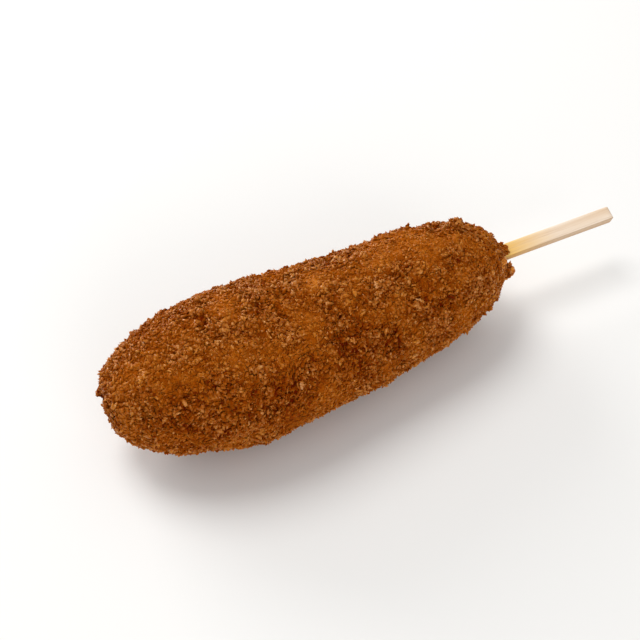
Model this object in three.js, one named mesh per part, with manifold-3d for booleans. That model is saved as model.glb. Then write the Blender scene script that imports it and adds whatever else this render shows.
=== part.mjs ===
// A crumbed corn dog lying on its side: a fat body in a browned crumb coat, blunt at the tip and
// narrower at the end where its wooden stick comes out. Millimetres, +Z up, +X from the tip to the stick.

import * as THREE from "three";
import { mergeVertices } from "three/addons/utils/BufferGeometryUtils.js";
import { ImprovedNoise } from "three/addons/math/ImprovedNoise.js";
import Module from "manifold-3d";

const wasm = await Module();
wasm.setup();

// Body
const BODY_LENGTH = 143;
const BODY_RADIUS = 24.6; // at the fattest place
const BODY_BOW = 5; // how far the middle lies in front of the ends
const BOW_EVEN = 0.7; // share of the bow that bends evenly
const BOW_MEAN = 0.33; // keeps the even bend about the axis
const BOW_SKEW = 0.16; // share that bends the two halves apart
const BOW_SKEW_MEAN = 0.6; // keeps the skewed bend about the axis
const TIP_HEIGHT = 23.8; // axis above the surface it lies on, at the tip's third
const END_HEIGHT = 20.5; // and at the stick's third
const SINK_START = 0.25; // share of the length at which the axis starts to sink
const SINK_SPAN = 0.5; // share of the length over which it sinks
const BODY_RINGS = 56;
const BODY_SIDES = 54;

// Half outline from the tip to the stick: share of the length, share of the radius
const OUTLINE = [
  [0, 0],
  [0.018, 0.38],
  [0.06, 0.62],
  [0.12, 0.8],
  [0.2, 0.935],
  [0.31, 1],
  [0.45, 0.965],
  [0.62, 0.885],
  [0.77, 0.83],
  [0.86, 0.73],
  [0.93, 0.57],
  [0.98, 0.35],
  [1, 0],
];

// Broad swells and hollows: place along X, degrees round the axis from the back, spread, height
const BULGES = [
  [60, 218, 9, 1.6],
  [41, 218, 9, -0.8],
  [13, 218, 8, 1.3],
  [-33, 218, 9, 0.9],
  [-66, 205, 9, 1.2],
  [30, 38, 12, 0.6],
  [50, 38, 8, 0.8],
  [-14, 38, 9, 0.5],
];

// Relief of the coat: how wide and how high each kind of unevenness is
const SWELLS = { span: 26, height: 0.5 };
const LUMPS = { span: 9, height: 0.7 };
const CRAGS = { span: 4.6, height: 0.55 };
const CRAG_LEVEL = 0.3; // share of a crag's height at which the coat's mean surface lies
const NOISE_SHIFT = 7; // keeps the relief away from the noise's flat origin

// Flakes of crumb large enough to stand out of the coat
const FLAKE_COUNT = 112;
const FLAKE_LENGTH = [3.2, 5.2];
const FLAKE_WIDTH = [0.55, 0.85]; // share of the length
const FLAKE_HEIGHT = [0.4, 0.6]; // share of the length
const FLAKE_SINK = 0.2; // share of its height that a flake's middle lies under the coat
const FLAKE_LEAN = 0.35; // most tilt, in radians
const FLAKE_STRAY = 0.3; // most turn round the axis off its even place, in radians
const FLAKE_ROUGHNESS = 0.22; // share of its size that a corner lies in or out
const FLAKE_SEED = 20;
const FLAKE_FREE_END = 6; // bare length of the coat round the stick
const FLAKE_FREE_FOOT = 3.5; // height of the coat without flakes, near the surface it lies on

// Single larger bits: middle, and size along X, Y and Z
const BITS = [
  { at: [-69.5, 9.5, 24], size: [5.6, 3.4, 3.2] }, // point at the tip
  { at: [55.5, 5.5, 38.1], size: [5.4, 4.4, 4.6] }, // knob on the shoulder
  { at: [41.9, 13.6, 37], size: [2.8, 2.4, 2.4] }, // clump on the far side
];

// Rounder bits of batter, squeezed out round the stick
const BATTER_BITS = [
  { at: [71.4, 0.5, 22.9], size: [4.2, 6.4, 3.8] }, // lip over the stick
  { at: [70.6, -4.2, 17.2], size: [6, 4.8, 5.4] }, // nub under the stick
];
const BATTER_ROUGHNESS = 0.06;
const BATTER_DETAIL = 2; // how many times the bit's faces are split

// Stick
const STICK_WIDTH = 4.8;
const STICK_THICKNESS = 3.4;
const STICK_EDGE = 0.6; // radius of its long edges
const STICK_CHAMFER = 0.5; // at both ends
const STICK_OUTSIDE = 41; // length that shows
const STICK_INSIDE = 88; // length held in the body
const STICK_EXIT = [73.2, 0.9, 20.4]; // where its axis leaves the coat
const STICK_YAW = -3.2; // degrees, towards the front
const STICK_PITCH = 0.2; // degrees, downwards
const STICK_ROLL = 20; // degrees, broad face tipped to the front
const STICK_GAP = 0.3; // between stick and coat
const STICK_SEGMENTS = 6; // across each rounded edge
const SOCKET_REACH = 20; // how far the cut for the stick runs out past the coat

const noise = new ImprovedNoise();

// Numbers from 0 to 1, the same in each run.
function seededRandom(seed) {
  let state = seed;
  return () => {
    state = (state * 1664525 + 1013904223) % 4294967296;
    return state / 4294967296;
  };
}

function solidOf(geometry) {
  const bare = geometry.clone();
  bare.deleteAttribute("normal");
  bare.deleteAttribute("uv");
  const merged = mergeVertices(bare, 1e-3);
  const mesh = new wasm.Mesh({
    numProp: 3,
    vertProperties: new Float32Array(merged.attributes.position.array),
    triVerts: new Uint32Array(merged.index.array),
  });
  return new wasm.Manifold(mesh);
}

function geometryOf(solid) {
  const mesh = solid.getMesh();
  const geometry = new THREE.BufferGeometry();
  geometry.setAttribute("position", new THREE.BufferAttribute(mesh.vertProperties, 3));
  geometry.setIndex(new THREE.BufferAttribute(mesh.triVerts, 1));
  geometry.computeVertexNormals();
  return geometry;
}

function waves({ span, height }, point) {
  const at = point.clone().divideScalar(span).addScalar(NOISE_SHIFT);
  return height * noise.noise(at.x, at.y, at.z);
}

function bulge([along, degrees, spread, height], point) {
  const angle = THREE.MathUtils.degToRad(degrees);
  const top = new THREE.Vector3(along, BODY_RADIUS * Math.cos(angle), BODY_RADIUS * Math.sin(angle));
  return height * Math.exp(-point.distanceToSquared(top) / (2 * spread ** 2));
}

// Height of the coat's unevenness over its smooth form, with sharp tops on the crags.
function relief(point) {
  const crag = CRAGS.height * CRAG_LEVEL - Math.abs(waves(CRAGS, point));
  const bulges = BULGES.reduce((sum, each) => sum + bulge(each, point), 0);
  return bulges + waves(SWELLS, point) + waves(LUMPS, point) + crag;
}

// The body's axis: bowed in plan, and lower at the slimmer end.
function axisAt(x) {
  const share = x / BODY_LENGTH + 0.5;
  const turn = 2 * share - 1;
  const even = BOW_EVEN * (turn ** 2 - BOW_MEAN);
  const skew = BOW_SKEW * (turn ** 3 - BOW_SKEW_MEAN * turn);
  const back = BODY_BOW * (even - skew);
  const sinking = THREE.MathUtils.clamp((share - SINK_START) / SINK_SPAN, 0, 1);
  return new THREE.Vector3(x, back, THREE.MathUtils.lerp(TIP_HEIGHT, END_HEIGHT, sinking));
}

// The coat without flakes: a lathe turned to lie along X, roughened, then laid along the bowed axis.
function bodyGeometry() {
  const outline = new THREE.SplineCurve(
    OUTLINE.map(([along, across]) => {
      return new THREE.Vector2(across * BODY_RADIUS, (along - 0.5) * BODY_LENGTH);
    }),
  );
  const profile = outline.getSpacedPoints(BODY_RINGS);
  profile[0].x = 0;
  profile[BODY_RINGS].x = 0;
  const lathe = new THREE.LatheGeometry(profile, BODY_SIDES).rotateZ(-Math.PI / 2);
  lathe.deleteAttribute("normal");
  lathe.deleteAttribute("uv");
  const geometry = mergeVertices(lathe, 1e-3);
  geometry.computeVertexNormals();
  const { position, normal } = geometry.attributes;
  for (let i = 0; i < position.count; i++) {
    const point = new THREE.Vector3().fromBufferAttribute(position, i);
    const outward = new THREE.Vector3().fromBufferAttribute(normal, i);
    const axis = axisAt(point.x);
    point.addScaledVector(outward, relief(point));
    position.setXYZ(i, point.x, point.y + axis.y, point.z + axis.z);
  }
  return geometry;
}

function between([low, high], random) {
  return THREE.MathUtils.lerp(low, high, random());
}

// A rough many-sided bit: every corner of an icosahedron pushed in or out by chance.
function bitGeometry(random, size, roughness, detail) {
  const flake = new THREE.IcosahedronGeometry(0.5, detail);
  flake.deleteAttribute("normal");
  flake.deleteAttribute("uv");
  const geometry = mergeVertices(flake, 1e-3);
  const { position } = geometry.attributes;
  for (let i = 0; i < position.count; i++) {
    const push = between([1 - roughness, 1 + roughness], random);
    position.setXYZ(i, position.getX(i) * push, position.getY(i) * push, position.getZ(i) * push);
  }
  return geometry.scale(...size);
}

// Flakes spread evenly: equal steps along a round body hold equal areas, a golden angle apart.
function flakeSolids(body) {
  const random = seededRandom(FLAKE_SEED);
  const goldenAngle = Math.PI * (3 - Math.sqrt(5));
  const skin = new THREE.Mesh(body);
  const solids = [];
  for (let i = 0; i < FLAKE_COUNT; i++) {
    const axis = axisAt(((i + 0.5) / FLAKE_COUNT - 0.5) * BODY_LENGTH);
    const angle = i * goldenAngle + between([-FLAKE_STRAY, FLAKE_STRAY], random);
    const inward = new THREE.Vector3(0, Math.cos(angle), Math.sin(angle)).negate();
    const far = axis.clone().addScaledVector(inward, -2 * BODY_RADIUS);
    const [hit] = new THREE.Raycaster(far, inward).intersectObject(skin);
    const length = between(FLAKE_LENGTH, random);
    const width = length * between(FLAKE_WIDTH, random);
    const height = length * between(FLAKE_HEIGHT, random);
    const flake = bitGeometry(random, [length, width, height], FLAKE_ROUGHNESS, 0);
    flake.rotateX(between([-FLAKE_LEAN, FLAKE_LEAN], random));
    flake.rotateY(between([-FLAKE_LEAN, FLAKE_LEAN], random));
    flake.rotateZ(between([0, 2 * Math.PI], random));
    const nearStick = hit.point.x > BODY_LENGTH / 2 - FLAKE_FREE_END;
    if (nearStick || hit.point.z < FLAKE_FREE_FOOT) continue;
    const upright = new THREE.Vector3(0, 0, 1);
    flake.applyQuaternion(new THREE.Quaternion().setFromUnitVectors(upright, hit.face.normal));
    const middle = hit.point.addScaledVector(hit.face.normal, -FLAKE_SINK * height);
    solids.push(solidOf(flake.translate(...middle)));
  }
  return solids;
}

function bitSolids() {
  const random = seededRandom(FLAKE_SEED + 1);
  const rough = BITS.map(({ at, size }) => {
    return bitGeometry(random, size, FLAKE_ROUGHNESS, 0).translate(...at);
  });
  const round = BATTER_BITS.map(({ at, size }) => {
    return bitGeometry(random, size, BATTER_ROUGHNESS, BATTER_DETAIL).translate(...at);
  });
  return [...rough, ...round].map(solidOf);
}

// A bar of the stick's rounded section along +X from its inner end, made larger all round by a gap.
function stickGeometry(gap, outside) {
  const edge = STICK_EDGE + gap - STICK_CHAMFER;
  const across = STICK_WIDTH / 2 - STICK_EDGE;
  const up = STICK_THICKNESS / 2 - STICK_EDGE;
  const section = new THREE.Shape();
  section.absarc(across, up, edge, 0, Math.PI / 2);
  section.absarc(-across, up, edge, Math.PI / 2, Math.PI);
  section.absarc(-across, -up, edge, Math.PI, 1.5 * Math.PI);
  section.absarc(across, -up, edge, 1.5 * Math.PI, 2 * Math.PI);
  const bar = new THREE.ExtrudeGeometry(section, {
    depth: STICK_INSIDE + gap + outside - 2 * STICK_CHAMFER,
    curveSegments: STICK_SEGMENTS,
    bevelThickness: STICK_CHAMFER,
    bevelSize: STICK_CHAMFER,
    bevelSegments: 2,
  });
  bar.translate(0, 0, STICK_CHAMFER - STICK_INSIDE - gap);
  return bar.rotateY(Math.PI / 2).rotateX(Math.PI / 2);
}

function placedOnStickLine(geometry) {
  const { degToRad } = THREE.MathUtils;
  geometry.rotateX(degToRad(STICK_ROLL));
  geometry.rotateY(degToRad(STICK_PITCH));
  geometry.rotateZ(degToRad(STICK_YAW));
  return geometry.translate(...STICK_EXIT);
}

function crumbCoat() {
  const body = bodyGeometry();
  let coat = solidOf(body);
  for (const flake of [...flakeSolids(body), ...bitSolids()]) {
    coat = coat.add(flake);
  }
  const under = new THREE.BoxGeometry(2 * BODY_LENGTH, 4 * BODY_RADIUS, BODY_RADIUS);
  coat = coat.subtract(solidOf(under.translate(0, 0, -BODY_RADIUS / 2)));
  coat = coat.subtract(solidOf(placedOnStickLine(stickGeometry(STICK_GAP, SOCKET_REACH))));
  const [whole] = coat.decompose().sort((a, b) => b.volume() - a.volume()); // without loose scraps
  const mesh = new THREE.Mesh(
    geometryOf(whole),
    new THREE.MeshStandardMaterial({ color: 0x9a5216, roughness: 0.85, metalness: 0, flatShading: true }),
  );
  mesh.name = "crumb_coat";
  return mesh;
}

function stick() {
  const mesh = new THREE.Mesh(
    placedOnStickLine(stickGeometry(0, STICK_OUTSIDE)),
    new THREE.MeshStandardMaterial({ color: 0xe6cf96, roughness: 0.7, metalness: 0 }),
  );
  mesh.name = "stick";
  return mesh;
}

const group = new THREE.Group();
group.add(crumbCoat(), stick());

// Centred over the middle of its own footprint.
const centre = new THREE.Box3().setFromObject(group).getCenter(new THREE.Vector3());
group.position.set(-centre.x, -centre.y, 0);

export default group;
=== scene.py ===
# Crumbed corn dog on a wooden stick: a rough core under loose panko crumbs, and a pale grained stick.
import math

import bmesh
import bpy
import numpy as np
from mathutils import Matrix, Quaternion, Vector, noise


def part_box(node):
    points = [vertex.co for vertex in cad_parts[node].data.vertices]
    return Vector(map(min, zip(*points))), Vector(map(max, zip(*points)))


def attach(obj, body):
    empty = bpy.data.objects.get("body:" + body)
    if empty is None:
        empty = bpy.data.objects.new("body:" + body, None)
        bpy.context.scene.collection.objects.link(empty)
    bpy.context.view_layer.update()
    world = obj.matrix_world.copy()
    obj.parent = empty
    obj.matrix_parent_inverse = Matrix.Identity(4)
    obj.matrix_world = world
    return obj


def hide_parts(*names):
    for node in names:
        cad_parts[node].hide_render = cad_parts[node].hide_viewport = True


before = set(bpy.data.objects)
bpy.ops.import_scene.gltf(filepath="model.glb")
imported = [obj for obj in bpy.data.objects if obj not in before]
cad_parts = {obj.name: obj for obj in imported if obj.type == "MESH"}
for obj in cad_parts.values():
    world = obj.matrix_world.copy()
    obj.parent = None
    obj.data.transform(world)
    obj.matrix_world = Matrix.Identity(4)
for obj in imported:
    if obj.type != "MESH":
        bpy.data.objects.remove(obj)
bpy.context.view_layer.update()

mm = 0.001
noiseSeed = 1
noise.seed_set(noiseSeed)  # without it noise_vector starts from the clock and the crumbs fall differently
print("stage: frame loaded")

# camera, in degrees and metres
cameraView = {
    "azimuth": -29.96,  # 0 looks along +Y
    "elevation": 48.0,
    "roll": 0.23,
    "aim": (-0.0174, 0.0044, 0.022),
    "distance": 0.4792,
    "lens": 84.94,
    "clipStart": 0.01,
}


def makeCamera(view):
    azimuth, elevation = math.radians(view["azimuth"]), math.radians(view["elevation"])
    flat = math.cos(elevation)
    back = Vector((math.sin(azimuth) * flat, -math.cos(azimuth) * flat, math.sin(elevation)))
    data = bpy.data.cameras.new("camera")
    data.lens = view["lens"]
    data.clip_start = view["clipStart"]
    camera = bpy.data.objects.new("camera", data)
    camera.location = Vector(view["aim"]) + back * view["distance"]
    camera.rotation_mode = "QUATERNION"
    roll = Quaternion((0, 0, 1), math.radians(view["roll"]))
    camera.rotation_quaternion = (-back).to_track_quat("-Z", "Y") @ roll
    bpy.context.scene.collection.objects.link(camera)
    bpy.context.scene.camera = camera


makeCamera(cameraView)
print("stage: camera")


# helpers for colours and pieces
def colour(red, green, blue):
    def linear(value):
        value /= 255
        return value / 12.92 if value <= 0.04045 else ((value + 0.055) / 1.055) ** 2.4
    return (linear(red), linear(green), linear(blue), 1.0)


def linkPiece(name, mesh, material, slotName=None, replaced=None):
    piece = bpy.data.objects.new(name, mesh)
    bpy.context.scene.collection.objects.link(piece)
    mesh.materials.clear()
    mesh.materials.append(material)
    if slotName:
        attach(piece, "root")
        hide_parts(replaced)
    return piece


def meshFrom(bm, name):
    mesh = bpy.data.meshes.new(name)
    bm.to_mesh(mesh)
    bm.free()
    return mesh


# makes one even skin of whatever the piece is joined from, and smooths it
def remeshPiece(piece, voxel, smoothing):
    remesh = piece.modifiers.new("remesh", "REMESH")
    remesh.mode = "VOXEL"
    remesh.voxel_size = voxel
    smooth = piece.modifiers.new("smooth", "SMOOTH")
    smooth.iterations = smoothing
    evaluated = piece.evaluated_get(bpy.context.evaluated_depsgraph_get())
    mesh = bpy.data.meshes.new_from_object(evaluated)
    piece.modifiers.clear()
    piece.data = mesh


# helpers for shader nodes: each returns the output that the next one takes
def startMaterial(name, values):
    material = bpy.data.materials.new(name)
    material.use_nodes = True
    nodes = material.node_tree.nodes
    shader = nodes["Principled BSDF"]
    for socket, value in values.items():
        shader.inputs[socket].default_value = value
    return material, nodes, material.node_tree.links, shader


def addNode(nodes, kind, values=None, **settings):
    node = nodes.new(kind)
    for name, value in settings.items():
        setattr(node, name, value)
    for name, value in (values or {}).items():
        node.inputs[name].default_value = value
    return node


def noiseTexture(nodes, links, vector, scale, detail, roughness=0.5):
    node = addNode(nodes, "ShaderNodeTexNoise", {"Scale": scale, "Detail": detail, "Roughness": roughness})
    links.new(vector, node.inputs["Vector"])
    return node.outputs["Fac"]


def calculate(nodes, links, operation, *values):
    node = addNode(nodes, "ShaderNodeMath", operation=operation)
    for socket, value in zip(node.inputs, values):
        if isinstance(value, float):
            socket.default_value = value
        else:
            links.new(value, socket)
    return node.outputs[0]


def mapRange(nodes, links, source, low, high, start=0.0, end=1.0):
    limits = {"From Min": low, "From Max": high, "To Min": start, "To Max": end}
    node = addNode(nodes, "ShaderNodeMapRange", limits)
    links.new(source, node.inputs["Value"])
    return node.outputs["Result"]


def mixColours(nodes, links, share, first, second, blend="MIX"):
    node = addNode(nodes, "ShaderNodeMix", data_type="RGBA", blend_type=blend)
    links.new(share, node.inputs["Factor"])
    links.new(first, node.inputs["A"])
    node.inputs["B"].default_value = second
    return node.outputs["Result"]


def colourRamp(nodes, links, source, stops):
    node = nodes.new("ShaderNodeValToRGB")
    ramp = node.color_ramp
    while len(ramp.elements) < len(stops):
        ramp.elements.new(1.0)
    for element, (position, value) in zip(ramp.elements, stops):
        element.position = position
        element.color = value
    links.new(source, node.inputs["Fac"])
    return node.outputs["Color"]


def addBump(nodes, links, source, shader, strength, distance):
    bump = addNode(nodes, "ShaderNodeBump", {"Strength": strength, "Distance": distance})
    links.new(source, bump.inputs["Height"])
    links.new(bump.outputs["Normal"], shader.inputs["Normal"])


# what stands out on the crust, each a soft patch: x, y, z and radius in mm, tone, batter
# above 0 the tone is paler and the batter barer and smoother, below 0 the crumbs are darker and piled up
patches = {
    "bare top of the tip": (-72, -6, 43, 7, 0.15, 0.35),
    "bare cheek of the tip": (-85, -6, 34, 7, 0.05, 0.3),
    "bare stretch at the fattest": (-52, -4, 48, 10, 0.1, 0.35),
    "bare front of the fattest": (-46, -17, 41, 7, 0.05, 0.4),
    "bare middle": (-20, -3, 45, 10, 0.15, 0.4),
    "bare front of the middle": (7, -11, 40, 6, 0.15, 0.4),
    "bare saddle": (0, 3, 43, 8, 0.1, 0.3),
    "bare back of the shoulder": (18, 3, 42, 10, 0.05, 0.4),
    "bare front of the shoulder": (32, -3, 38, 9, 0.05, 0.4),
    "bare low shoulder": (31, -16, 25, 6, 0.05, 0.3),
    "bare neck": (44, 3, 33, 8, 0.05, 0.2),
    "bare low middle": (4, -21, 19, 7, 0.1, 0.25),
    "bare foot of the tip": (-57, -22, 12, 7, 0.05, 0.3),
    "piled crumbs under the tip": (-74, -16, 34, 8, -0.2, -0.4),
    "dark foot of the tip": (-70, -21, 22, 6, -0.2, -0.1),
    "ridge of crumbs, tip end": (-57, -23, 31, 6, -0.2, -0.4),
    "ridge of crumbs, middle": (-42, -24, 33, 7, -0.2, -0.4),
    "ridge of crumbs, stick end": (-18, -21, 33, 7, -0.2, -0.5),
    "dark foot of the ridge": (-41, -25, 21, 5, -0.25, -0.1),
    "rough low middle": (-3, -22, 26, 5, -0.1, -0.4),
    "rough dip in the shoulder": (13, -14, 36, 5, -0.15, -0.2),
    "rough neck": (44, -5, 29, 4, -0.1, -0.4),
    "burnt crumbs on top": (-13, -8, 43, 2, -0.2, 0),
    "burnt crumbs behind": (21, 13, 37, 2.5, -0.25, 0),
    "burnt crumbs by the neck": (39, -12, 24, 2, -0.25, 0),
    "streak of dark crumbs": (-32, -20, 36, 3, -0.15, 0),
}
bareSpots = [(50.6, -4.2, 17.6, 1.5), (45.4, -6.6, 26.3, 0.9)]  # x, y, z, radius in mm: no crumbs here

# sizes are in mm
crustForm = {
    "toneWaves": [(4.2, 0.06), (2.0, 0.1)],  # size and strength of each
    "batterWave": (9.0, 0.9),
    "batterSeed": Vector((9, 4, 2)),
    "batterMean": 0.15,
    "clump": 4.6,  # across one clump of crumbs
    "clumpBend": (2.6, 1.1),  # size and strength of the wander in the clumps' edges
    "crackWidth": 0.45,  # share of a clump
    "crackDepth": 1.3,
    # painted shade in the cracks: the tone is this much darker where a crack is full
    "crackShade": -0.11,
    "crackWave": (9.0, 0.8),  # cracks come and go: size and strength
    "crackSeed": Vector((2, 7, 5)),
    "crackMean": 0.5,
    "riseWaves": [(6.5, 0.45), (3.2, 0.6), (1.3, 0.5)],
    "hollowShade": 0.12,  # painted shade: each mm of rise is this much paler, and each mm sunk into a hollow or crack this much darker
    "levelled": 0.75,  # share of the rise that full batter takes away
}


# tone, batter, rise in mm and crack at each of the points, from the patches and from wandering noise
def crustField(points, form=crustForm):
    tone, batter, rise, crack = np.zeros((4, len(points)))
    batterSize, batterStrength = form["batterWave"]
    crackSize, crackStrength = form["crackWave"]
    bendSize, bendStrength = form["clumpBend"]
    for index, point in enumerate(points):
        place = Vector(point) / mm
        tone[index] = sum(strength * noise.noise(place / size) for size, strength in form["toneWaves"])
        batterNoise = noise.noise(place / batterSize + form["batterSeed"])
        batter[index] = form["batterMean"] + batterStrength * batterNoise
        rise[index] = sum(height * noise.noise(place / size) for size, height in form["riseWaves"])
        bent = place + bendStrength * noise.noise_vector(place / bendSize)
        near = noise.voronoi(bent / form["clump"])[0]
        crack[index] = max(0.0, 1 - (near[1] - near[0]) / form["crackWidth"])
        crackNoise = noise.noise(place / crackSize + form["crackSeed"])
        crack[index] *= form["crackMean"] + crackStrength * crackNoise
    for x, y, z, radius, toneShift, batterShift in patches.values():
        away = np.linalg.norm(points / mm - (x, y, z), axis=1)
        near = np.exp(-((away / radius) ** 2))
        tone += toneShift * near
        batter += batterShift * near
    batter = batter.clip(0, 1)
    crack = (crack * (1 - batter)).clip(0, 1)
    rise = rise * (1 - form["levelled"] * batter) - form["crackDepth"] * crack
    # the tone takes painted shade: darker down in the hollows and cracks, paler on the rises
    return tone + form["hollowShade"] * rise + form["crackShade"] * crack, batter, rise, crack


def storeField(mesh, **fields):
    for name, values in fields.items():
        mesh.attributes.new(name, "FLOAT", "POINT").data.foreach_set("value", values)


# fried crust: one colour group for the core and for every kind of crumb
# scales are per metre, and each range is from, to, and what these two become
crustLook = {
    "tones": [
        (0.0, colour(104, 22, 0)),  # burnt
        (0.4, colour(160, 80, 2)),  # brown
        (0.68, colour(199, 125, 38)),  # golden
        (1.0, colour(221, 169, 108)),  # dry and pale
    ],
    "batter": colour(196, 110, 28),
    "batterShare": 0.28,
    "toasted": (0.8, 0.71, 0.88, 1.0),  # tint where the crumbs stand free of the batter
    "toastedRange": (0.8, 0.0),
    "oiled": (1.0, 0.96, 0.7, 1.0),  # tint where more oil has stayed
    "oilScale": 190.0,
    "oilRange": (0.4, 0.6),
    "blotch": (260.0, 0.35),  # scale and strength of each unevenness of tone
    "fleck": (1500.0, 0.6),
    "gleamRange": (0.3, 0.7, 0.0, 0.95),  # paler crust throws back more light
    "filmScale": 1900.0,
    "filmRange": (0.5, 0.66, 0.15, 2.0),  # oil shines in small spots
    "glossRange": (0.3, 0.7, 0.24, 0.5),
}
crustSkin = {
    "Subsurface Weight": 0.08,
    "Subsurface Radius": (1.0, 0.45, 0.2),
    "Subsurface Scale": 0.6 * mm,
    "Sheen Weight": 0.12,
    "Sheen Roughness": 0.5,
    "Sheen Tint": (1.0, 0.72, 0.15, 1.0),
    "Specular Tint": (1.0, 0.83, 0.55, 1.0),  # the oily gleam takes some of the crust's gold
}
crustGrit = {"scale": 1400.0, "detail": 2.0, "strength": 0.6, "height": 0.3 * mm}


def makeCrustGroup(look):
    group = bpy.data.node_groups.new("friedCrust", "ShaderNodeTree")
    group.interface.new_socket("lift", in_out="INPUT", socket_type="NodeSocketFloat")
    group.interface.new_socket("colour", in_out="OUTPUT", socket_type="NodeSocketColor")
    group.interface.new_socket("roughness", in_out="OUTPUT", socket_type="NodeSocketFloat")
    group.interface.new_socket("gleam", in_out="OUTPUT", socket_type="NodeSocketFloat")
    nodes, links = group.nodes, group.links
    given, result = nodes.new("NodeGroupInput"), nodes.new("NodeGroupOutput")
    place = nodes.new("ShaderNodeTexCoord").outputs["Object"]
    stored = addNode(nodes, "ShaderNodeAttribute", attribute_name="tone").outputs["Fac"]
    batter = addNode(nodes, "ShaderNodeAttribute", attribute_name="batter").outputs["Fac"]
    # tone
    tone = calculate(nodes, links, "ADD", stored, given.outputs["lift"])
    textures = []
    for scale, strength in (look["blotch"], look["fleck"]):
        texture = noiseTexture(nodes, links, place, scale, 3.0, 0.6)
        centred = calculate(nodes, links, "SUBTRACT", texture, 0.5)
        tone = calculate(nodes, links, "MULTIPLY_ADD", centred, strength, tone)
        textures.append(texture)
    # colour
    fried = colourRamp(nodes, links, tone, look["tones"])
    share = calculate(nodes, links, "MULTIPLY", batter, look["batterShare"])
    fried = mixColours(nodes, links, share, fried, look["batter"])
    free = mapRange(nodes, links, batter, *look["toastedRange"])
    fried = mixColours(nodes, links, free, fried, look["toasted"], "MULTIPLY")
    wet = noiseTexture(nodes, links, place, look["oilScale"], 4.0)
    oil = mapRange(nodes, links, wet, *look["oilRange"])
    fried = mixColours(nodes, links, oil, fried, look["oiled"], "MULTIPLY")
    links.new(fried, result.inputs["colour"])
    # gleam and roughness
    gleam = mapRange(nodes, links, tone, *look["gleamRange"])
    film = noiseTexture(nodes, links, place, look["filmScale"], 2.0)
    spots = mapRange(nodes, links, film, *look["filmRange"])
    links.new(calculate(nodes, links, "MULTIPLY", gleam, spots), result.inputs["gleam"])
    links.new(mapRange(nodes, links, textures[0], *look["glossRange"]), result.inputs["roughness"])
    return group


crustGroup = makeCrustGroup(crustLook)


# lift makes the whole piece paler, and grit gives it a fine bump
def makeCrustMaterial(name, lift=0.0, grit=None):
    material, nodes, links, shader = startMaterial(name, crustSkin)
    crust = addNode(nodes, "ShaderNodeGroup", node_tree=crustGroup)
    crust.inputs["lift"].default_value = lift
    links.new(crust.outputs["colour"], shader.inputs["Base Color"])
    links.new(crust.outputs["roughness"], shader.inputs["Roughness"])
    links.new(crust.outputs["gleam"], shader.inputs["Specular IOR Level"])
    if grit:
        place = nodes.new("ShaderNodeTexCoord").outputs["Object"]
        grains = noiseTexture(nodes, links, place, grit["scale"], grit["detail"])
        addBump(nodes, links, grains, shader, grit["strength"], grit["height"])
    return material


# stick: the same bar as the solid
stickForm = {
    "length": 130 * mm,
    "width": 4.8 * mm,
    "thickness": 3.4 * mm,
    "bare": 41.5 * mm,
    "edge": 0.45 * mm,
    "chamfer": 1.0 * mm,
    "turn": tuple(math.radians(angle) for angle in (20.0, 0.2, -3.2)),  # roll, pitch, yaw
    "step": 1.2 * mm,  # length of one stretch of the wavy surface
    "sideWave": (0.25 * mm, 50 * mm, 3.0),  # height and length of the waves, and which ones they are
    "topWave": (0.2 * mm, 40 * mm, 8.0),
}


def stickMatrix(form):
    low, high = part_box("stick")
    roll, pitch, yaw = form["turn"]
    turn = Matrix.Rotation(yaw, 4, "Z") @ Matrix.Rotation(pitch, 4, "Y") @ Matrix.Rotation(roll, 4, "X")
    return Matrix.Translation((low + high) / 2) @ turn


stickPlace = stickMatrix(stickForm)
stickAxis = (stickPlace.to_3x3() @ Vector((1, 0, 0))).normalized()
stickMouth = stickPlace @ Vector((stickForm["length"] / 2 - stickForm["bare"], 0, 0))

# core: the solid's own form, closed round the stick, drawn in and roughened under the crumbs
coreForm = {
    "doubles": 0.001 * mm,
    "voxel": 0.54 * mm,
    "smoothing": 6,
    "drawnIn": 0.6 * mm,
    "batterFill": 0.4,  # share of drawnIn that full batter fills again
    "plugRadius": 5.2 * mm,
    "plugTaper": 0.8,
    "plugSides": 24,
    "plugDepth": 12 * mm,
    "plugSunk": 3 * mm,
    "floorGap": 0.2 * mm,
    "tone": 0.22,
    "toneContrast": 1.4,
    "batterTone": 0.1,
}


def makeCore(form):
    bm = bmesh.new()
    bm.from_mesh(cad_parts["crumb_coat"].data)
    bmesh.ops.remove_doubles(bm, verts=bm.verts, dist=form["doubles"])
    middle = stickMouth - stickAxis * (form["plugDepth"] / 2 + form["plugSunk"])
    bmesh.ops.create_cone(
        bm,
        cap_ends=True,
        segments=form["plugSides"],
        radius1=form["plugRadius"],
        radius2=form["plugRadius"] * form["plugTaper"],
        depth=form["plugDepth"],
        matrix=Matrix.Translation(middle) @ stickAxis.to_track_quat("Z", "Y").to_matrix().to_4x4(),
    )
    material = makeCrustMaterial("crustCore", grit=crustGrit)
    piece = linkPiece("crustCore", meshFrom(bm, "crustCore"), material, "fried_crumb", "crumb_coat")
    remeshPiece(piece, form["voxel"], form["smoothing"])
    roughenCore(piece.data, form)
    piece.data.shade_smooth()
    return piece


def roughenCore(mesh, form):
    bm = bmesh.new()
    bm.from_mesh(mesh)
    bm.normal_update()
    tone, batter, rise, crack = crustField(np.array([vert.co for vert in bm.verts]))
    for vert, height, smoothed in zip(bm.verts, rise, batter):
        vert.co += vert.normal * (height * mm - form["drawnIn"] * (1 - form["batterFill"] * smoothed))
        vert.co.z = max(vert.co.z, form["floorGap"])
    bm.to_mesh(mesh)
    bm.free()
    tone = form["tone"] + form["toneContrast"] * tone + form["batterTone"] * batter
    storeField(mesh, tone=tone, batter=batter, crack=crack)


core = makeCore(coreForm)
print("stage: core,", len(core.data.polygons), "faces")

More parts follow.
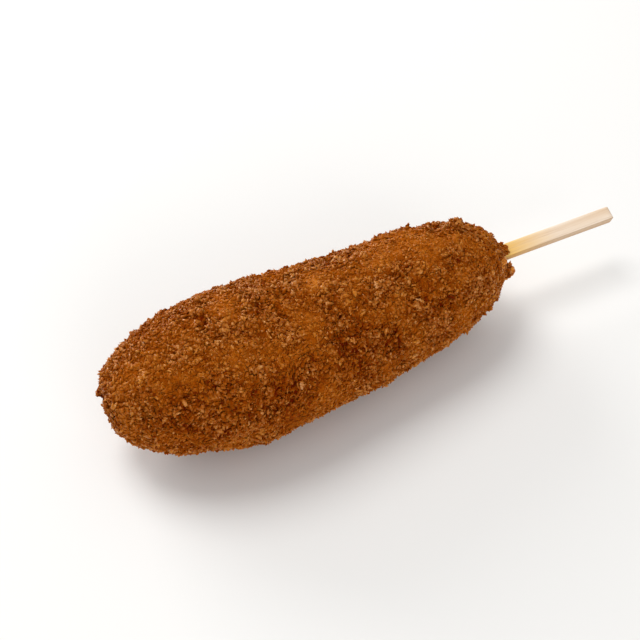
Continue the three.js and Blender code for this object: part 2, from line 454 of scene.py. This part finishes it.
# crumbs: each kind is one mesh of jagged bits set at random over the core
# size is in mm, width and height are shares of it, and jag and bend say how uneven a bit is
# lift and lean say how a bit sits, spread how uneven the tone is, and the keeps how many stay there
crumbKinds = {
    "gritCrumbs": {
        "shape": "chip", "parts": 1, "count": 22000,
        "size": (0.75, 1.45), "width": (0.5, 1.0), "height": (0.4, 0.8),
        "jag": 0.35, "bend": 0.0, "lift": 0.1, "lean": 0.8,
        "tone": 0.3, "spread": 0.08, "batterKeep": 1.0, "crackKeep": 1.0,
    },
    "sliverCrumbs": {
        "shape": "sliver", "parts": 1, "count": 9500,
        "size": (1.2, 2.6), "width": (0.3, 0.5), "height": (0.22, 0.38),
        "jag": 0.35, "bend": 0.7, "lift": 0.17, "lean": 0.7,
        "tone": 0.34, "spread": 0.08, "batterKeep": 0.4, "crackKeep": 0.4,
    },
    "grainCrumbs": {
        "shape": "lump", "parts": 1, "count": 5500,
        "size": (0.9, 1.9), "width": (0.5, 0.8), "height": (0.35, 0.65),
        "jag": 0.42, "bend": 0.3, "lift": 0.15, "lean": 0.9,
        "tone": 0.31, "spread": 0.08, "batterKeep": 0.6, "crackKeep": 0.4,
    },
    "flakeCrumbs": {
        "shape": "lump", "parts": 1, "count": 8500,
        "size": (1.2, 2.7), "width": (0.4, 0.7), "height": (0.22, 0.42),
        "jag": 0.42, "bend": 0.8, "lift": 0.19, "lean": 0.76,
        "tone": 0.32, "spread": 0.08, "batterKeep": 0.4, "crackKeep": 0.4,
    },
    "clusterCrumbs": {
        "shape": "lump", "parts": 4, "count": 2400,
        "size": (1.5, 3.0), "width": (0.8, 1.0), "height": (0.5, 0.8),
        "jag": 0.36, "bend": 0.3, "lift": 0.1, "lean": 0.5,
        "tone": 0.31, "spread": 0.09, "batterKeep": 0.45, "crackKeep": 0.3,
    },
    # bits that stand out singly: x, y, z and size in mm, tone
    "singleCrumbs": {
        "places": [
            (-24.9, 13.2, 41.8, 3.0, 0.02), (-15.7, 15.4, 38.1, 1.8, 0.2), (-9.0, 11.6, 40.3, 2.6, 0.15),
            (-66.0, 17.0, 40.2, 2.3, 0.2), (-73.0, 17.7, 36.6, 2.0, 0.25), (-41.8, 16.3, 41.3, 2.3, 0.3),
            (-84.6, 12.3, 35.2, 2.2, 0.3), (-34.5, 1.0, 46.6, 2.8, -0.12), (-11.8, -7.5, 43.1, 3.2, 0.4),
            (-8.4, -11.0, 40.6, 2.5, 0.37), (-21.2, -17.9, 37.5, 2.5, 0.37), (-30.1, -15.2, 41.7, 2.5, 0.36),
            (51.0, 0.4, 24.0, 1.8, 0.2), (50.6, 3.0, 24.4, 1.8, 0.25), (51.9, -1.6, 22.4, 1.7, 0.28),
        ],
        "shape": "lump", "parts": 3, "width": (0.8, 1.0), "height": (0.6, 0.9),
        "jag": 0.28, "bend": 0.2, "lift": 0.25, "lean": 0.4,
    },
}
crumbForm = {
    "shapes": 14,  # different shapes of each kind
    "chipSides": (4, 2),
    "sliverSides": (4, 3),
    "partLength": (0.55, 0.8),  # of the parts in a bit of several, as shares of its length
    "partWidth": (0.25, 0.5),
    "partSpread": 0.28,
    "length": 1.06,
    "finer": 0.26,  # how much smaller bits are where batter lies
    "sunk": 0.05 * mm,  # how far batter takes them in
    "uneven": 1.35,  # less full batter, how strongly the spread of tone shows
    "crustShare": 0.8,  # how far a bit's tone follows the crust's
    "palest": 0.5,
    "oddTones": [-0.25, 0.0, 0.1],  # burnt, plain and dry ones
    "oddShares": [0.05, 0.92, 0.03],
    "tipPaleFootShade": 0.26,  # paler at the outer end of a bit than at its foot: partly a drier, paler outer end, partly painted shade at the foot between the bits
    "topFree": 1.25,
    "topBatter": 0.85,
    "floorGap": 0.1 * mm,
    "mapMargin": 0.1,  # share of a cell in the bake map
    "stickClear": 3.3 * mm,  # no bits this close to the stick's axis
    "stickReach": 20 * mm,
}


# one jagged bit, about one unit long: corners, faces and bake map
def crumbShape(kind, random, form=crumbForm):
    bm = bmesh.new()
    bm.loops.layers.uv.new("OFBake")
    for part in range(kind["parts"]):
        if kind["shape"] == "lump":
            made = bmesh.ops.create_icosphere(bm, subdivisions=1, radius=0.5, calc_uvs=True)
        else:
            around, along = form[kind["shape"] + "Sides"]
            made = bmesh.ops.create_uvsphere(
                bm, u_segments=around, v_segments=along, radius=0.5, calc_uvs=True
            )
        if kind["shape"] == "sliver":
            bmesh.ops.rotate(bm, verts=made["verts"], matrix=Matrix.Rotation(math.pi / 2, 3, "Y"))
        for vert in made["verts"]:
            vert.co *= 1 + random.uniform(-kind["jag"], kind["jag"])
            vert.co.z += kind["bend"] * (vert.co.x ** 2 * 2 - 0.15)  # a bow, and back to its middle height
        if kind["parts"] > 1:
            stretch = Vector((random.uniform(*form["partLength"]), *random.uniform(*form["partWidth"], 2)))
            turn = Matrix.Rotation(random.uniform(0, 6), 3, Vector(random.normal(0, 1, 3)))
            shift = Vector(random.uniform(-form["partSpread"], form["partSpread"], 3))
            bmesh.ops.scale(bm, verts=made["verts"], vec=stretch)
            bmesh.ops.rotate(bm, verts=made["verts"], matrix=turn)
            bmesh.ops.translate(bm, verts=made["verts"], vec=shift)
    bmesh.ops.triangulate(bm, faces=bm.faces)
    bmesh.ops.recalc_face_normals(bm, faces=bm.faces)
    uvLayer = bm.loops.layers.uv.active
    bm.verts.index_update()
    corners = np.array([vert.co for vert in bm.verts])
    faces = np.array([[vert.index for vert in face.verts] for face in bm.faces])
    flat = np.array([[loop[uvLayer].uv for loop in face.loops] for face in bm.faces])
    bm.free()
    return corners, faces, (flat - flat.min((0, 1))) / np.ptp(flat, axis=(0, 1))


# middles and normals of the core's faces, and the batter and crack at each
def coreFaces(mesh):
    middles = np.zeros(len(mesh.polygons) * 3)
    mesh.polygons.foreach_get("center", middles)
    normals = np.zeros(len(mesh.polygons) * 3)
    mesh.polygons.foreach_get("normal", normals)
    firstCorners = np.zeros(len(mesh.polygons), int)
    mesh.polygons.foreach_get("loop_start", firstCorners)
    vertexOf = np.zeros(len(mesh.loops), int)
    mesh.loops.foreach_get("vertex_index", vertexOf)
    batter, crack = np.zeros((2, len(mesh.vertices)))
    mesh.attributes["batter"].data.foreach_get("value", batter)
    mesh.attributes["crack"].data.foreach_get("value", crack)
    corners = vertexOf[firstCorners]
    return middles.reshape(-1, 3), normals.reshape(-1, 3), batter[corners], crack[corners]


onCore = coreFaces(core.data)


def chooseFaces(kind, random, form=crumbForm):
    middles, _, batter, crack = onCore
    fromMouth = middles - np.array(stickMouth)
    alongStick = fromMouth @ np.array(stickAxis)
    fromAxis = np.linalg.norm(fromMouth - alongStick[:, None] * np.array(stickAxis), axis=1)
    weight = (1 - (1 - kind["batterKeep"]) * batter) * (1 - (1 - kind["crackKeep"]) * crack)
    weight[(fromAxis < form["stickClear"]) & (alongStick > -form["stickReach"])] = 0
    for x, y, z, radius in bareSpots:
        weight[np.linalg.norm(middles / mm - (x, y, z), axis=1) < radius] = 0
    return random.choice(len(middles), kind["count"], replace=False, p=weight / weight.sum())


# one turn for each normal: upright along it, leant a little, and spun by chance
def turnsFrom(normals, lean, random):
    leant = normals + random.normal(0, lean / 2, normals.shape)
    up = leant / np.linalg.norm(leant, axis=1, keepdims=True)
    first = np.cross(up, random.normal(0, 1, normals.shape))
    first /= np.linalg.norm(first, axis=1, keepdims=True)
    return np.stack([first, np.cross(up, first), up], axis=2)


def scatterCrumbs(name, kind, seed, form=crumbForm):
    random = np.random.default_rng(seed)
    shapes = [crumbShape(kind, random) for _ in range(form["shapes"])]
    places = np.array(kind["places"]) if "places" in kind else None
    if places is None:
        chosen = chooseFaces(kind, random)
    else:
        chosen = [np.argmin(np.linalg.norm(onCore[0] / mm - place, axis=1)) for place in places[:, :3]]
    count = len(chosen)
    middles, normals, batterAt = (values[chosen] for values in onCore[:3])
    turns = turnsFrom(normals, kind["lean"], random)
    if places is None:
        length = random.uniform(*kind["size"], count) * mm * (form["length"] - form["finer"] * batterAt)
    else:
        length = places[:, 3] * mm
    width = random.uniform(*kind["width"], count)
    height = random.uniform(*kind["height"], count)
    scale = np.stack([length, length * width, length * height], 1)
    lifts = scale[:, 2] * kind["lift"] - form["sunk"] * batterAt
    middles = middles + normals * lifts[:, None]
    if places is None:
        uneven = random.normal(0, kind["spread"], count) * (form["uneven"] - batterAt)
        tone = kind["tone"] + form["crustShare"] * crustField(middles)[0] + uneven
        tone = tone.clip(0, form["palest"]) + random.choice(form["oddTones"], count, p=form["oddShares"])
    else:
        tone = places[:, 4]
    which = random.integers(0, form["shapes"], count)
    mesh = joinCrumbs(name, shapes, which, middles, normals, turns, scale, lifts, tone, batterAt)
    return linkPiece(name, mesh, makeCrustMaterial(name), "fried_crumb", "crumb_coat")


# one mesh of all the bits of a kind: which gives the shape of each, and the other lists its place and look
def joinCrumbs(name, shapes, which, middles, normals, turns, scale, lifts, tone, batter, form=crumbForm):
    cells = math.ceil(math.sqrt(len(which)))
    margin = form["mapMargin"]
    corners, faces, flats, tones, batters = [], [], [], [], []
    start = 0
    for index, (points, triangles, flat) in enumerate(shapes):
        mine = np.nonzero(which == index)[0]
        offsets = np.einsum("nij,nvj->nvi", turns[mine], points[None] * scale[mine, None])
        corners.append((offsets + middles[mine, None]).reshape(-1, 3))
        outward = (np.einsum("nvi,ni->nv", offsets, normals[mine]) + lifts[mine, None]) / mm
        # painted shade at each bit's foot and a paler outer end, by how far each corner stands out from the
        # core
        heightShade = form["tipPaleFootShade"] * (form["topFree"] - form["topBatter"] * batter[mine, None])
        tones.append((tone[mine, None] + heightShade * outward.clip(-1, 1)).ravel())
        batters.append(np.repeat(batter[mine], len(points)))
        step = start + len(points) * np.arange(len(mine))
        faces.append((triangles[None] + step[:, None, None]).reshape(-1, 3))
        start += len(points) * len(mine)
        cell = np.stack([mine % cells, mine // cells], 1)[:, None, None]
        flats.append(((cell + margin + (1 - 2 * margin) * flat[None]) / cells).reshape(-1, 2))
    corners = np.concatenate(corners)
    corners[:, 2] = np.maximum(corners[:, 2], form["floorGap"])
    mesh = meshFromArrays(name, corners, np.concatenate(faces), np.concatenate(flats))
    storeField(mesh, tone=np.concatenate(tones), batter=np.concatenate(batters))
    mesh.validate()
    return mesh


def meshFromArrays(name, corners, faces, flats):
    mesh = bpy.data.meshes.new(name)
    mesh.vertices.add(len(corners))
    mesh.vertices.foreach_set("co", corners.ravel())
    mesh.loops.add(faces.size)
    mesh.loops.foreach_set("vertex_index", faces.ravel())
    mesh.polygons.add(len(faces))
    mesh.polygons.foreach_set("loop_start", np.arange(0, faces.size, 3))
    mesh.update(calc_edges=True)
    mesh.uv_layers.new(name="OFBake").uv.foreach_set("vector", flats.ravel())
    return mesh


for seed, (kindName, kind) in enumerate(crumbKinds.items(), 1):
    made = scatterCrumbs(kindName, kind, seed)
    print("stage:", kindName, len(made.data.polygons), "faces")

# batter: bare bits of it where the stick comes out, as joined blobs
batterForm = {
    "blobs": [  # x, y, z and radius in mm
        (50.4, -4.3, 17.7, 1.4), (49.7, -3.6, 16.2, 1.3), (50.2, -4.9, 16.9, 1.0), (45.0, -6.2, 26.3, 1.4),
        (44.3, -7.2, 25.4, 1.0), (45.9, -5.4, 26.2, 0.9), (48.6, -1.4, 20.2, 1.7),
        (48.8, 0.2, 23.0, 1.4), (49.0, 2.8, 23.4, 1.4), (49.2, 4.4, 20.6, 1.4), (49.0, 3.6, 18.0, 1.5),
    ],
    "voxel": 0.22 * mm,
    "smoothing": 8,
    "waves": [(2.4 * mm, 0.5 * mm), (1.0 * mm, 0.45 * mm)],  # length and height
    "blotchScale": 560.0,
    "tones": [(0.3, colour(150, 76, 14)), (0.5, colour(198, 118, 34)), (0.75, colour(222, 158, 84))],
}


def makeBatterMaterial(form):
    values = {"Roughness": 0.38, "Specular Tint": (1.0, 0.6, 0.25, 1.0)}
    material, nodes, links, shader = startMaterial("bareBatter", values)
    place = nodes.new("ShaderNodeTexCoord").outputs["Object"]
    blotch = noiseTexture(nodes, links, place, form["blotchScale"], 4.0)
    links.new(colourRamp(nodes, links, blotch, form["tones"]), shader.inputs["Base Color"])
    return material


def makeBatter(form):
    bm = bmesh.new()
    for x, y, z, radius in form["blobs"]:
        place = Matrix.Translation(Vector((x, y, z)) * mm)
        bmesh.ops.create_icosphere(bm, subdivisions=3, radius=radius * mm, matrix=place)
    material = makeBatterMaterial(form)
    piece = linkPiece("bareBatter", meshFrom(bm, "bareBatter"), material, "fried_crumb", "crumb_coat")
    remeshPiece(piece, form["voxel"], form["smoothing"])
    bm = bmesh.new()
    bm.from_mesh(piece.data)
    bm.normal_update()
    for vert in bm.verts:
        vert.co += vert.normal * sum(height * noise.noise(vert.co / size) for size, height in form["waves"])
    bm.to_mesh(piece.data)
    bm.free()
    piece.data.shade_smooth()


makeBatter(batterForm)
print("stage: batter")

# wood of the stick
woodLook = {
    "stretch": (0.035, 1.0, 1.0),  # draws the grain out along the stick
    "grain": (1500.0, 4.0, 0.6),  # scale per metre, detail and roughness
    "broad": (320.0, 3.0),
    "tones": [(0.32, colour(222, 192, 160)), (0.5, colour(236, 214, 190)), (0.68, colour(242, 226, 208))],
    "line": colour(206, 168, 122),
    "lineRange": (0.52, 0.72, 0.0, 0.55),
    "stain": colour(255, 224, 134),
    "stainReach": (4 * mm, 24 * mm),  # from the coat: where it starts to fade, and where it ends
    "stainFray": 9 * mm,
    # painted shade on the thin side of the stick that faces down and to the front
    "shadedFace": colour(210, 196, 179),
    "shadedFaceRange": (-2.25 * mm, -2.0 * mm, 1.0, 0.0),
    "bump": (0.35, 0.12 * mm),  # strength and height
}


def makeStickMaterial(form, look):
    material, nodes, links, shader = startMaterial("paleWood", {"Roughness": 0.6, "Specular IOR Level": 0.3})
    place = nodes.new("ShaderNodeTexCoord").outputs["Object"]
    low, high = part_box("stick")
    stickFrame = {"Location": (low + high) / 2, "Rotation": form["turn"]}
    along = addNode(nodes, "ShaderNodeMapping", stickFrame, vector_type="TEXTURE")
    links.new(place, along.inputs["Vector"])
    stretched = addNode(nodes, "ShaderNodeMapping", {"Scale": look["stretch"]})
    links.new(along.outputs["Vector"], stretched.inputs["Vector"])
    grain = noiseTexture(nodes, links, stretched.outputs["Vector"], *look["grain"])
    broad = noiseTexture(nodes, links, stretched.outputs["Vector"], *look["broad"])
    wood = colourRamp(nodes, links, broad, look["tones"])
    lines = mapRange(nodes, links, grain, *look["lineRange"])
    wood = mixColours(nodes, links, lines, wood, look["line"])
    # oil has crept along the wood from the coat
    apart = nodes.new("ShaderNodeSeparateXYZ")
    links.new(along.outputs["Vector"], apart.inputs["Vector"])
    edge = calculate(nodes, links, "MULTIPLY_ADD", grain, look["stainFray"], apart.outputs["X"])
    mouth = form["length"] / 2 - form["bare"]
    fadeStart, fadeEnd = look["stainReach"]
    oiled = mapRange(nodes, links, edge, mouth + fadeStart, mouth + fadeEnd, 1.0, 0.0)
    wood = mixColours(nodes, links, oiled, wood, look["stain"], "MULTIPLY")
    # painted shade: the thin side of the stick that faces down and to the front is darker
    shadedFace = mapRange(nodes, links, apart.outputs["Y"], *look["shadedFaceRange"])
    wood = mixColours(nodes, links, shadedFace, wood, look["shadedFace"], "MULTIPLY")
    links.new(wood, shader.inputs["Base Color"])
    addBump(nodes, links, grain, shader, *look["bump"])
    return material


def wave(x, height, length, seed):
    return height * noise.noise(Vector((x / length, seed, 0.0)))


def makeStick(form, look):
    bm = bmesh.new()
    bmesh.ops.create_cube(bm, size=1.0)
    bmesh.ops.scale(bm, vec=(form["length"], form["width"], form["thickness"]), verts=bm.verts)
    bevel = {"profile": 0.5, "affect": "EDGES", "material": -1}
    endEdges = [edge for edge in bm.edges if abs(edge.verts[0].co.x - edge.verts[1].co.x) < mm]
    bmesh.ops.bevel(bm, geom=endEdges, offset=form["chamfer"], segments=2, **bevel)
    half = form["length"] / 2
    longEdges = [edge for edge in bm.edges if abs(edge.verts[0].co.x - edge.verts[1].co.x) > half]
    bmesh.ops.bevel(bm, geom=longEdges, offset=form["edge"], segments=4, **bevel)
    bmesh.ops.subdivide_edges(
        bm,
        edges=[edge for edge in bm.edges if edge.calc_length() > half],
        cuts=int(form["length"] / form["step"]),
        use_grid_fill=True,
    )
    for vert in bm.verts:
        vert.co.y += wave(vert.co.x, *form["sideWave"])
        vert.co.z += wave(vert.co.x, *form["topWave"])
    bmesh.ops.transform(bm, matrix=stickPlace, verts=bm.verts)
    bmesh.ops.recalc_face_normals(bm, faces=bm.faces)
    material = makeStickMaterial(form, look)
    piece = linkPiece("woodenStick", meshFrom(bm, "woodenStick"), material, "pale_wood", "stick")
    piece.data.shade_smooth()


makeStick(stickForm, woodLook)
print("stage: stick")

# floor and light, in metres and watts
studio = {
    "floor": colour(238, 237, 235),
    "floorHalf": 1.5,
    "aim": (0, 0, 0.02),
    "air": 0.52,
    "lights": {
        "key": {"place": (-0.25, 0.6, 1.25), "size": 0.8, "power": 9.1, "tint": (1.0, 0.995, 0.985)},
        "fill": {"place": (-0.15, -1.1, 0.32), "size": 1.0, "power": 6.3, "tint": (1.0, 1.0, 1.0)},
        "rim": {"place": (-0.3, 1.3, 0.4), "size": 1.0, "power": 13.2, "tint": (1.0, 1.0, 1.0)},
    },
}


def makeFloor(form):
    bm = bmesh.new()
    bmesh.ops.create_grid(bm, x_segments=1, y_segments=1, size=form["floorHalf"])
    material = startMaterial("paleFloor", {"Base Color": form["floor"], "Roughness": 0.9})[0]
    linkPiece("floor", meshFrom(bm, "floor"), material)


def makeLight(name, lamp, aim):
    data = bpy.data.lights.new(name, "AREA")
    data.shape = "DISK"
    data.size = lamp["size"]
    data.energy = lamp["power"]
    data.color = lamp["tint"]
    light = bpy.data.objects.new(name, data)
    light.location = lamp["place"]
    light.rotation_mode = "QUATERNION"
    light.rotation_quaternion = (Vector(aim) - Vector(lamp["place"])).to_track_quat("-Z", "Y")
    bpy.context.scene.collection.objects.link(light)


def makeAir(strength):
    world = bpy.data.worlds.new("world")
    bpy.context.scene.world = world
    world.use_nodes = True
    background = world.node_tree.nodes["Background"]
    background.inputs["Color"].default_value = (1.0, 1.0, 1.0, 1.0)
    background.inputs["Strength"].default_value = strength


makeFloor(studio)
for lampName, lamp in studio["lights"].items():
    makeLight(lampName, lamp, studio["aim"])
makeAir(studio["air"])
bpy.context.scene.view_settings.view_transform = "Standard"
print("stage: light and floor")
